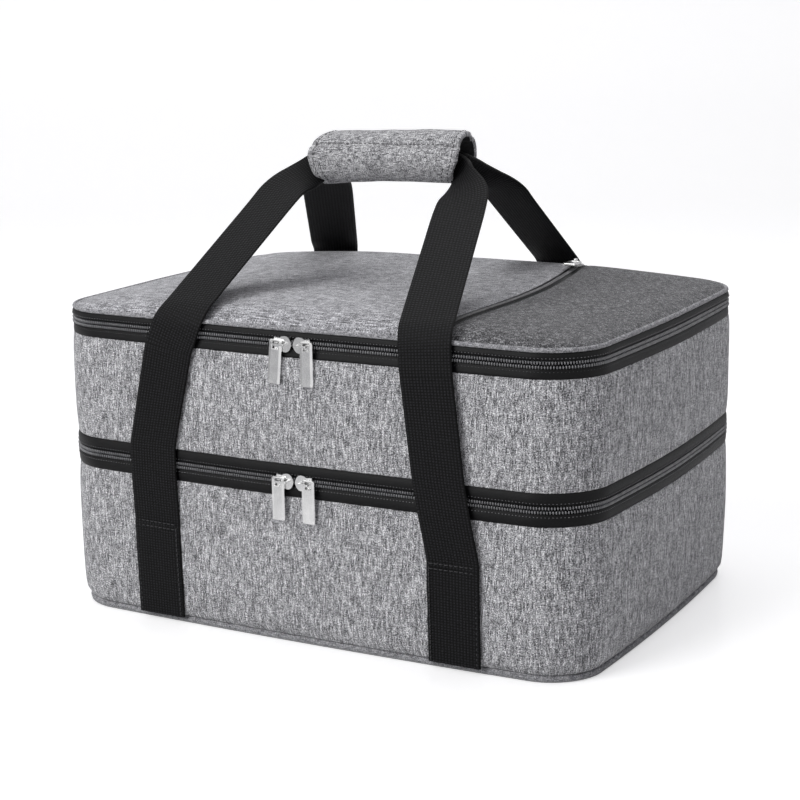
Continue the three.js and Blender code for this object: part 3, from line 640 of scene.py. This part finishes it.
lid_melange = melange("grey_melange_lid_polyester",
                      ["#464648", "#89898C", "#B3B3B7", "#F0F0F3"], 0.8, 9.0, 0.0003, turned=True)
dark_melange = melange("dark_melange_pocket_polyester",
                       ["#161617", "#474749", "#69696B", "#ACACAE"], 0.9, 4.0, 0.0003, turned=True)
main_panel = lid_panel("lid_main_cloth", lambda y, w: -w,
                       lambda y, w: pocket_x(y, POCKET_R - ZIP_HALF), 44, [lid_melange])
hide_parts("lid_main_panel", "lid_foam")
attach(main_panel, "lid")
pocket_panel = lid_panel("lid_pocket_cloth", lambda y, w: pocket_x(y, POCKET_R + ZIP_HALF),
                         lambda y, w: w, 18, [dark_melange])
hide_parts("lid_pocket_panel")
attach(pocket_panel, "lid")

# Pocket zip: two black tapes in the gap between the panels and a fine coil between them. It
# bends in a wide arc from the front of the lid to its back, where the slider rests.
POCKET_FRONT, POCKET_BACK = -0.140, 0.138


def pocket_strip(name, inner, outer, node):
    """One tape of the pocket zip, between two radii of its arc."""
    verts, uvs = [], []
    count = 60
    for i in range(count + 1):
        y = POCKET_FRONT + (POCKET_BACK - POCKET_FRONT) * i / count
        for radius, v in ((inner, 0.0), ((inner + outer) / 2, 0.002), (outer, 0.004)):
            x = pocket_x(y, radius)
            verts.append(bowed(x, y, lid_height(x, y) + 0.00005))
            uvs.append((y, v))
    ob = mesh_object(name, verts, grid_faces(count + 1, 3), [zip_tape], uvs)
    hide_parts(node)
    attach(ob, "lid")


pocket_strip("pocket_left_tape_cloth", POCKET_R - 0.0045, POCKET_R - 0.0009, "pocket_left_tape")
pocket_strip("pocket_right_tape_cloth", POCKET_R + 0.0009, POCKET_R + 0.0045, "pocket_right_tape")

verts, faces = [], []
turn_count = round((POCKET_BACK - POCKET_FRONT) / PITCH)
for i in range(turn_count):
    y = POCKET_FRONT + PITCH * (i + 0.5)
    for half, shift in ((-1, 0.0), (1, PITCH / 2)):
        base = len(verts)
        for t, r in ((0.0, 0.0), (0.12, 0.8), (0.5, 1.0), (0.88, 0.8), (1.0, 0.0)):
            x = pocket_x(y, POCKET_R + half * (0.0001 + 0.0013 * t))
            for k in range(5):
                a = math.tau * k / 5
                p = Vector((x, y + shift + PITCH * 0.36 * r * math.sin(a), 0))
                p = bowed(p.x, p.y, lid_height(p.x, p.y) + 0.0003 + 0.0006 * r * math.cos(a))
                verts.append(p)
        faces += grid_faces(5, 5, base, closed=True)
# The pocket coil takes the zip chains' mid grey: painted highlight.
pocket_turns = mesh_object("pocket_coil_turns", verts, faces, [coil_painted_highlight])
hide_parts("pocket_coil")
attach(pocket_turns, "lid")

# Linings: wipe-clean aluminised film on each compartment's foam, folded over the rim to meet
# the zip tape. It creases a little and mirrors softly.


def foil_material():
    m, tree = material("aluminised_peva_film")
    where = add(tree, "TexCoord").outputs["Object"]
    crease = add(tree, "TexVoronoi", {"feature": "DISTANCE_TO_EDGE"}, {
        "Vector": where, "Scale": 28.0, "Randomness": 1.0})
    soft = add(tree, "TexNoise", sockets={"Vector": where, "Scale": 60.0, "Detail": 4.0}).outputs[0]
    both = mix(tree, 0.5, crease.outputs["Distance"], soft)
    show(tree, add(tree, "BsdfPrincipled", sockets={
        "Base Color": graded(tree, soft, (0.0, "#A9ACB0"), (1.0, "#D5D8DB")), "Metallic": 0.75,
        "Roughness": 0.38, "Normal": relief(tree, 0.5, 0.001, both)}))
    return m


foil = foil_material()
LINER = 0.0078
SHRINK = [1.0, 0.93, 0.8, 0.6, 0.35]


def ring_sheet(name, inset, height, mats, edge=(), facing=1):
    """A sheet that fills the outline. edge holds (out, z) points of a skirt outside it.
    facing is 1 for a sheet seen from above and -1 for one seen from below."""
    verts, uvs = [], []
    stations = around[:-1]
    n = len(stations)
    for out, z in edge:
        for st in stations:
            verts.append(case_point(st, out, z))
            uvs.append((st[4], z))
    for scale in SHRINK:
        for st in stations:
            p = case_point(st, -inset, 0.0)
            p = Vector((p.x * scale, p.y * scale, 0))
            verts.append(Vector((p.x, p.y, height(p.x, p.y))))
            uvs.append((p.x, p.y))
    verts.append(Vector((0, 0, height(0, 0))))
    uvs.append((0, 0))
    rows = len(edge) + len(SHRINK)
    faces = [face[::facing] for face in grid_faces(rows, n, closed=True)]
    last = (rows - 1) * n
    for j in range(n):
        faces.append((last + j, last + (j + 1) % n, len(verts) - 1)[::facing])
    return mesh_object(name, verts, faces, mats, uvs)


def tray(name, floor_z, rim_z, body, nodes):
    """Inside of a compartment: rim, wall and floor in one film."""
    edge = [(-0.0011, rim_z + 0.0004), (-0.0035, rim_z + 0.0006), (-0.0065, rim_z + 0.0004)]
    edge += [(-LINER, rim_z - 0.0012)]
    edge += [(-LINER, rim_z + (floor_z + 0.002 - rim_z) * t) for t in (0.25, 0.5, 0.75, 1.0)]
    ob = ring_sheet(name, LINER + 0.0015, lambda x, y: floor_z + 0.0008, [foil], edge)
    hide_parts(*nodes)
    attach(ob, body)


tray("lower_lining", 0.010, 0.1126, "lower_case", ["lower_liner"])
tray("deck_lining", 0.1224, 0.2049, "deck", ["deck_liner"])
underside = ring_sheet("deck_underside_film", 0.0012,
                       lambda x, y: 0.1160 + 0.0004 * noise.noise(Vector((x * 20, y * 20, 1.0))),
                       [foil], [(-0.0011, 0.1163)], facing=-1)
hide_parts("deck_underside")
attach(underside, "deck")
lid_film = ring_sheet("lid_lining", 0.0016, lambda x, y: lid_height(x, y) - 0.0079, [foil],
                      [(-0.0011, 0.2100)], facing=-1)
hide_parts("lid_liner")
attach(lid_film, "lid")

# Base: the wall cloth again under the bag, over a stiff board that keeps the floor flat. Only
# the welt round it shows in the photograph.
base_cloth = ring_sheet("base_cloth", 0.0028, lambda x, y: 0.0001, [grey_melange],
                        [(-0.0024, 0.0012)], facing=-1)
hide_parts("base_panel")
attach(base_cloth, "lower_case")
board = speckled("grey_fibreboard", 300.0, 5.0, ["#2E2E31", "#4C4C50"], {"Roughness": 0.8}, (0.3, 0.0003))
bpy.data.objects["base_board"].data.materials.clear()
bpy.data.objects["base_board"].data.materials.append(board)

# Straps: black polypropylene webbing 38 mm wide, woven with ribs along its length
# (drawn 2.3 mm apart, about one and a half times the real ones, so that they show). Each is sewn
# to the lower wall, runs free up the upper wall and turns over the lid into its handle.
WEB, WEB_THICK = 0.038, 0.0018


def webbing_material():
    m, tree = material("black_polypropylene_webbing")
    uv = add(tree, "UVMap", {"uv_map": "cloth"}).outputs[0]
    bands = []
    for axis, scale in (("X", (1000 / 2.3, 0.0, 1)), ("Y", (0.0, 1000 / 1.9, 1))):
        threads = add(tree, "Mapping", sockets={"Vector": uv, "Scale": scale})
        bands.append(add(tree, "TexWave", {"bands_direction": axis}, {
            "Vector": threads.outputs[0], "Scale": 0.314}).outputs["Fac"])
    weave = mix(tree, 0.4, times(tree, *bands), cloth_noise(tree, scaled(tree, uv, 1.1, 2.5), 2.0))
    show(tree, add(tree, "BsdfPrincipled", sockets={
        "Base Color": graded(tree, weave, (0.2, "#020202"), (0.85, "#28282B")),
        "Roughness": 0.6, "Specular IOR Level": 0.12, "Sheen Weight": 0.02, "Sheen Roughness": 0.4,
        "Normal": relief(tree, 0.9, 0.0006, weave)}))
    return m


webbing = webbing_material()
RIM = [(-1.0, 0.0), (-0.975, 0.72), (-0.93, 1.0), (-0.5, 0.94), (0.0, 0.9), (0.5, 0.94),
       (0.93, 1.0), (0.975, 0.72)]


def web(name, sections):
    """Webbing through sections, each a centre, across and face directions, width, thickness."""
    ring = RIM + [(-u, -v) for u, v in RIM]
    verts, uvs = [], []
    v_run = 0.0
    for i, (centre, across, face, width, thick) in enumerate(sections):
        if i:
            v_run += (centre - sections[i - 1][0]).length
        for u, v in ring:
            verts.append(centre + across * (u * width / 2) + face * (v * thick / 2))
            uvs.append((u * WEB / 2, v_run))
    return mesh_object(name, verts, grid_faces(len(sections), len(ring), closed=True), [webbing], uvs)


def face_point(x, side, offset, z):
    bow = FACE_BOW * bow_share(z) * max(0.0, 1 - (x / CASE_X) ** 2)
    return Vector((x, side * (CASE_Y + bow + offset), z))


def on_face(strap, z):
    """Middle of a strap against its wall: tight where it is sewn, clear of the zip bands above."""
    side = STRAPS[strap][0]
    x = strap_centre(strap, z)
    offset = 0.0004 + 0.0018 * min(1.0, max(0.0, (z - SEWN_TOP) / 0.029))
    left, right = face_point(x - WEB / 2, side, offset, z), face_point(x + WEB / 2, side, offset, z)
    return (left + right) / 2 + Vector((0, side, 0)) * (WEB_THICK / 2)


TWIST = {"front_left": 0, "front_right": 0, "back_left": 24, "back_right": 0}


def sections_of(points, strap, end):
    """Turns a run of centres, each with a turn, a width and a thickness, into flat sections."""
    side = STRAPS[strap][0]
    sections = []
    for i, (centre, turned, width, thick) in enumerate(points):
        before, after = points[max(0, i - 1)][0], points[min(len(points) - 1, i + 1)][0]
        tangent = (after - before).normalized()
        free = min(1.0, max(0.0, (centre.z - 0.15) / 0.06))
        twist = math.radians(TWIST[strap]) * min(1.0, max(0.0, (centre.z - 0.212) / 0.018))
        level = Vector((math.cos(twist), math.sin(twist), 0)) * end
        flat = level - tangent * tangent.dot(level) * free
        across = flat.normalized().lerp(Vector((0, 0, 1)), turned)
        if turned > 0:
            across = across - tangent * across.dot(tangent)
        across.normalize()
        face = (tangent.cross(across) * (side * end)).normalized()
        sections.append([centre, across, face, width, thick])
    return sections


def flat_at(centre):
    """A point of a run where the webbing lies flat: no turn, full width."""
    return [centre, 0.0, WEB, WEB_THICK]


def strap_run(strap, low, high):
    """The part of a strap that lies against its wall, as a run of points 4 mm apart."""
    count = max(1, round((high - low) / 0.004))
    return [flat_at(on_face(strap, low + (high - low) * i / count)) for i in range(count + 1)]


def cut_corners(points, times):
    """Rounds a run of points, each a centre with a turn, a width and a thickness."""
    for _ in range(times):
        rounded = [points[0]]
        for a, b in zip(points, points[1:]):
            rounded.append([a[k] * 0.75 + b[k] * 0.25 for k in range(4)])
            rounded.append([a[k] * 0.25 + b[k] * 0.75 for k in range(4)])
        points = rounded + [points[-1]]
    return points


# Each strap runs on over the lid into its handle, folds in two lengthways as it comes to the
# wrap and stands on edge inside it, beside the other handle.
WRAP_LEFT, WRAP_RIGHT, WRAP_Z = -0.067, 0.050, 0.316
FOLDED, FOLDED_THICK, GRIP_GAP = 0.019, 0.0046, 0.0006
SPLIT = 0.195


def handle_points(strap, end):
    """The free part of a strap from the split up over the lid to the middle of the wrap.
    The back ones stand off the lid's edge, which swings out under them as it opens."""
    side = STRAPS[strap][0]
    mouth = WRAP_LEFT if end < 0 else WRAP_RIGHT
    grip_y = side * (FOLDED_THICK + GRIP_GAP) / 2
    start = on_face(strap, LID_EDGE) + Vector((0, 0, 0.0042))
    knee = Vector((mouth + end * 0.013, grip_y + side * 0.026, WRAP_Z - 0.021))
    points = [flat_at(on_face(strap, z)) for z in (SPLIT, 0.199)]
    if side > 0:
        for z, stand in ((0.2035, 0.0012), (0.2062, 0.0040), (0.2090, 0.0052), (0.2130, 0.0062)):
            points.append(flat_at(on_face(strap, z) + Vector((0, stand, 0))))
        start.y += 0.0070
    if strap == "front_left":
        start.x += 0.005
    points.append(flat_at(start))
    for t in (0.17, 0.34, 0.5, 0.7, 0.86):
        points.append(flat_at(start + (knee - start) * t))
    points.append([knee, 0.08, WEB * 0.97, 0.0022])
    for inward, forward, below, turned, width, thick in (
            (-0.0035, 0.010, 0.014, 0.42, 0.0245, 0.0034),
            (0.0005, 0.002, 0.0085, 0.7, 0.0215, FOLDED_THICK),
            (0.010, 0.0, 0.0035, 1.0, FOLDED, FOLDED_THICK),
            (0.022, 0.0, 0.0, 1.0, FOLDED, FOLDED_THICK)):
        place = Vector((mouth - end * inward, grip_y + side * forward, WRAP_Z - below))
        points.append([place, turned, width, thick])
    return cut_corners(points, 3)


halves = {}
for strap, (side, *_) in STRAPS.items():
    end = -1 if strap.endswith("left") else 1
    fold = SEWN_TOP if side < 0 else LOWER_ZIP
    sewn = web(strap + "_sewn_web", sections_of(strap_run(strap, BASE_SEAM, fold - 0.005), strap, end))
    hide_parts(strap + "_sewn_strap")
    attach(sewn, "lower_case")
    lower = strap_run(strap, fold - 0.005, SPLIT)
    upper = handle_points(strap, end)
    whole = sections_of(lower + upper[1:], strap, end)
    halves[strap] = whole[len(lower) - 1:]
    loose = web(strap + "_web", whole[:len(lower)])
    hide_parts(strap + "_strap")
    first, last = (0.072, 0.085) if side < 0 else (0.1135, 0.1165)
    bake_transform(loose)

for name, side, first, last in (("front", -1, 0.2050, 0.2150), ("back", 1, 0.2035, 0.2080)):
    second = [[c, -a, f, w, t] for c, a, f, w, t in reversed(halves[name + "_right"])]
    handle = web(name + "_handle_web", halves[name + "_left"] + second)
    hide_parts(name + "_handle_webbing")
    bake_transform(handle)

# Wrap: a padded cuff of the wall cloth that closes round both handles, with a strip of hook
# and loop under it. The foam inside rounds it and the seams pull it in. The cloth's swell
# is worked out here and not simulated.
WRAP_R = 0.0168


def cuff_point(t, angle, radius, out=0.0):
    """Point on the cuff. t runs from its left end to its right, and out moves the point on
    along x. angle is in degrees from the top, positive towards the back."""
    a = math.radians(angle)
    front, low = max(0.0, -math.sin(a)), max(0.0, -math.cos(a))
    left = WRAP_LEFT + 0.008 * max(0.0, math.cos(a)) ** 2 + 0.004 * low - 0.001 * front
    right = WRAP_RIGHT + 0.001 * max(0.0, math.cos(a)) - 0.008 * low
    x = left + (right - left) * t + out
    end = min(t, 1 - t) * (right - left)
    swell = 0.0009 * (1 - math.exp(-max(0.0, end) / 0.006))
    seam = 0.0013 * math.exp(-((angle + 60) / 5) ** 2) + 0.0006 * math.exp(-((angle - 30) / 7) ** 2)
    swell += 0.0006 * noise.noise(Vector((x * 45, math.sin(a) * 1.6, math.cos(a) * 1.6)))
    droop = low * (0.0026 * (2 * t - 1) ** 2 + 0.0016 * (1 - t) - 0.0026 * t)
    r = radius + swell - seam
    lean = 0.0032 * t * max(0.0, math.cos(a))
    return Vector((x, r * math.sin(a), WRAP_Z - 0.0006 + lean + r * math.cos(a) - droop))


def cuff(name, first, last, mats, body, nodes):
    """One half of the cuff: outer cloth, rolled ends and edges, and a lining inside."""
    steps = max(8, round(abs(last - first) / 6))
    columns = 48
    verts, uvs = [], []
    thick = 0.0036
    rolls = [(0.0, -thick), (-0.0007, -thick * 0.85), (-0.0010, -thick * 0.5), (-0.0007, -thick * 0.15)]
    for j in range(steps + 1):
        angle = first + (last - first) * j / steps
        edge = min(j, steps - j)
        dip = 0.0011 if edge == 0 else 0.0003 if edge == 1 else 0.0
        row = [(0.0, dx, dr) for dx, dr in rolls]
        row += [(i / columns, 0.0, 0.0) for i in range(columns + 1)]
        row += [(1.0, -dx, dr) for dx, dr in reversed(rolls)]
        for t, out, dr in row:
            verts.append(cuff_point(t, angle, WRAP_R - dip + dr, out))
            uvs.append((WRAP_LEFT + (WRAP_RIGHT - WRAP_LEFT) * t + out, math.radians(angle) * WRAP_R))
    m = columns + 1 + 2 * len(rolls)
    flip = 1 if last > first else -1
    faces = [(a, d, c, b)[::flip] for a, b, c, d in grid_faces(steps + 1, m, closed=True)]
    ob = mesh_object(name, verts, faces, mats, uvs, face_mats=([0] * (m - 1) + [1]) * steps)
    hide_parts(*nodes)
    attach(ob, body)


fuzzy = speckled("black_hook_and_loop", 900.0, 3.0, ["#0D0D0E", "#2C2C2E"],
                 {"Roughness": 0.95, "Sheen Weight": 0.2}, (0.8, 0.0006))
cuff_melange = melange("grey_melange_cuff_polyester",
                       ["#48484A", "#8B8B8D", "#B6B6B8", "#ECECED"], 0.8, 5.0, 0.0003, turned=True)
cuff("wrap_cuff", 29.4, -157, [cuff_melange, fuzzy], "front_handle", ["wrap_cover", "wrap_pad"])
cuff("wrap_flap_cuff", 30.6, 202.4, [cuff_melange, fuzzy], "wrap_flap",
     ["wrap_flap_cover", "wrap_flap_pad"])

# Hook strip: a black band under the cuff that the flap closes over, so it shows only when open.
verts = [cuff_point(0.06 + 0.88 * i / 24, -179 + 23 * j / 4, WRAP_R - 0.0040)
         for j in range(5) for i in range(25)]
hook = mesh_object("wrap_hook_strip", verts, grid_faces(5, 25), [fuzzy])
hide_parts("wrap_loop_strip")
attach(hook, "front_handle")

# Stitches: each is a short thread 0.7 mm thick. Grey ones hem the wrap and run beside its
# seam; black ones hold the straps to the lower wall.
STITCH, GAP, THREAD_R = 0.0027, 0.0009, 0.00034
grey_thread = speckled("grey_polyester_thread", 700.0, 2.0, ["#2A2A2C", "#5C5C5E"],
                       {"Roughness": 0.6}, (0.4, 0.0002))
black_thread = speckled("black_polyester_thread", 700.0, 2.0, ["#141415", "#3A3A3D"],
                        {"Roughness": 0.6}, (0.4, 0.0002))


def stitches(name, paths, mat, body):
    """Threads along paths of points, each path cut into stitches that dip in at both ends."""
    verts, faces = [], []
    for path, normal in paths:
        run = [0.0]
        for a, b in zip(path, path[1:]):
            run.append(run[-1] + (b - a).length)
        count = int((run[-1] + GAP) / (STITCH + GAP))
        for i in range(count):
            base = len(verts)
            for t, dip in ((0.0, -1.2), (0.25, 0.3), (0.5, 0.6), (0.75, 0.3), (1.0, -1.2)):
                d = i * (STITCH + GAP) + STITCH * t
                k = max(j for j in range(len(path) - 1) if run[j] <= d + 1e-9)
                f = (d - run[k]) / max(1e-9, run[k + 1] - run[k])
                centre = path[k].lerp(path[k + 1], f)
                n = normal(centre)
                along = (path[k + 1] - path[k]).normalized()
                side = along.cross(n)
                verts += [centre + n * THREAD_R * dip + (side * math.cos(q) + n * math.sin(q)) * THREAD_R
                          for q in [math.tau * e / 6 for e in range(6)]]
            faces += grid_faces(5, 6, base, closed=True)
    ob = mesh_object(name, verts, faces, [mat])
    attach(ob, body)


def cuff_normal(p):
    return Vector((0, p.y, p.z - WRAP_Z)).normalized()


def cuff_line(t0, angle0, t1, angle1, count=24):
    return [cuff_point(t0 + (t1 - t0) * i / count, angle0 + (angle1 - angle0) * i / count, WRAP_R)
            for i in range(count + 1)]


hems = [cuff_line(0.02, -56, 0.97, -56)]
hems += [cuff_line(0.035, -150, 0.035, 24), cuff_line(0.975, -150, 0.975, 24)]
hems += [cuff_line(0.075, -150, 0.075, -100), cuff_line(0.935, -150, 0.935, -100)]
hems += [cuff_line(0.94, -56 + d, 0.955, -56 + d, 2) for d in (-1.5, 1.5)]
stitches("wrap_stitches", [(path, cuff_normal) for path in hems], grey_thread,
         "front_handle")

SEAM_HALF, SEAM_OUT = 0.0165, 0.0024
for strap, (side, *_) in STRAPS.items():
    lines = []
    top = SEWN_TOP if side < 0 else 0.110
    for across in (-SEAM_HALF, SEAM_HALF):
        lines.append([face_point(strap_centre(strap, z) + across, side, SEAM_OUT, z)
                      for z in [0.006 + (top - 0.008) * i / 12 for i in range(13)]])
    for z in (top - 0.0025, top - 0.0060):
        left = strap_centre(strap, z) - SEAM_HALF
        lines.append([face_point(left + 2 * SEAM_HALF * i / 8, side, SEAM_OUT, z) for i in range(9)])
    facing = Vector((0, side, 0))
    stitches(strap + "_stitches", [(path, lambda p, n=facing: n) for path in lines], black_thread,
             "lower_case")

# Sliders and pulls: nickel-plated zinc castings, bright and slightly uneven, with hairline
# scratches. They take the CAD's shapes; the four front pulls have wider bevels.


def nickel_material():
    m, tree = material("bright_nickel_plate")
    where = add(tree, "TexCoord").outputs["Object"]
    rub = add(tree, "Mapping", sockets={"Vector": where, "Scale": (900, 900, 90)})
    rub = add(tree, "TexNoise", sockets={"Vector": rub.outputs[0], "Scale": 1.0, "Detail": 2.0}).outputs[0]
    cloud = add(tree, "TexNoise", sockets={"Vector": where, "Scale": 140.0, "Detail": 2.0}).outputs[0]
    rough = add(tree, "MapRange", sockets={"Value": rub, "To Min": 0.12, "To Max": 0.26})
    show(tree, add(tree, "BsdfPrincipled", sockets={
        "Base Color": graded(tree, cloud, (0.0, "#CFCFD0"), (1.0, "#EFEFEE")), "Metallic": 1.0,
        "Roughness": rough.outputs["Result"], "Normal": relief(tree, 0.15, 0.0002, rub)}))
    return m


nickel = nickel_material()
BEVEL, PULL_LEAN = 0.0013, math.radians(5)
for place in ("lower_left", "lower_right", "upper_left", "upper_right", "pocket"):
    for kind in ("slider", "pull"):
        ob = bpy.data.objects[f"{place}_{kind}"]
        ob.data.materials.clear()
        ob.data.materials.append(nickel)


def casting(node, ending, shape):
    """A metal piece that takes a CAD node's place."""
    ob = bpy.data.objects.new(node + ending, shape)
    bpy.context.scene.collection.objects.link(ob)
    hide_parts(node)
    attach(ob, node)


for node in ("lower_left_pull", "lower_right_pull", "upper_left_pull", "upper_right_pull"):
    cad = bpy.data.objects[node]
    shape = cad.data.copy()
    shape.transform(cad.matrix_world)
    low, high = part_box(node)
    middle, front = (low.x + high.x) / 2, low.y
    pivot = Vector((middle, 0, high.z - 0.003))
    work = bmesh.new()
    work.from_mesh(shape)
    bmesh.ops.remove_doubles(work, verts=work.verts, dist=0.00001)
    bmesh.ops.dissolve_limit(work, angle_limit=0.02, verts=work.verts, edges=work.edges)
    for v in work.verts:
        if v.co.y < front + 0.0003 and abs(v.co.x - middle) > 0.0038:
            v.co.x -= math.copysign(BEVEL, v.co.x - middle)
            v.co.z += BEVEL if v.co.z < low.z + 0.002 else 0
    bmesh.ops.triangulate(work, faces=work.faces, ngon_method="EAR_CLIP")
    work.to_mesh(shape)
    work.free()
    if node == "upper_left_pull":
        lean = Matrix.Rotation(PULL_LEAN, 4, "Y")
        shape.transform(Matrix.Translation(pivot) @ lean @ Matrix.Translation(-pivot))
    shape.polygons.foreach_set("use_smooth", [False] * len(shape.polygons))
    casting(node, "_tab", shape)

# Pocket's slider and pull: the CAD's shapes, lifted a little on to the crown of the padded
# lid, which stands higher than the CAD's flatter one.
pocket_lift = lid_height(0.086, 0.111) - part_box("pocket_slider")[0].z
for node in ("pocket_slider", "pocket_pull"):
    cad = bpy.data.objects[node]
    shape = cad.data.copy()
    shape.transform(Matrix.Translation((0, 0, pocket_lift)) @ cad.matrix_world)
    casting(node, "_casting", shape)
